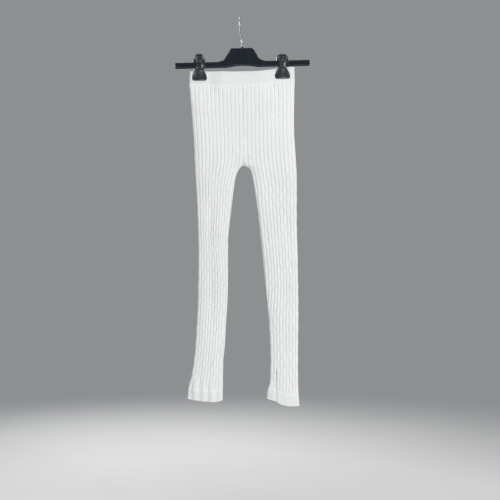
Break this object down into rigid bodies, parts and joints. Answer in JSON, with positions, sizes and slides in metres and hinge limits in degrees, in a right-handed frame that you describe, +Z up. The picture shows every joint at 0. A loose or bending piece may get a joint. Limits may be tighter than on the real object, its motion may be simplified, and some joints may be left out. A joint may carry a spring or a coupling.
{
  "type": "leggings on a clip hanger",
  "caption": "Waved-rib knit leggings hung flat by the waistband from a plastic clip hanger with a wire hook.",
  "frame": {"origin": "the point under the top of the hook's bend where the rod or nail that carries the hanger touches it", "axes": "+Z up, +X to the viewer's right along the hanger's rail, -Y out of the garment's front"},
  "size_m": [0.3201, 0.045, 0.9301],
  "materials": {
    "knit": "off-white waved rib knit, matt, soft",
    "plastic": "moulded blue-black plastic, glossy",
    "wire": "bright plated steel wire"
  },
  "bodies": {
    "root": {"waistband": "knit", "leg_right": "knit", "leg_left": "knit", "hem_right": "knit", "hem_left": "knit", "hanger_body": "plastic", "hanger_hook": "wire", "clip_right_slider": "plastic", "clip_right_front": "plastic", "clip_right_back": "plastic", "clip_left_slider": "plastic", "clip_left_front": "plastic", "clip_left_back": "plastic"}
  },
  "joints": []
}
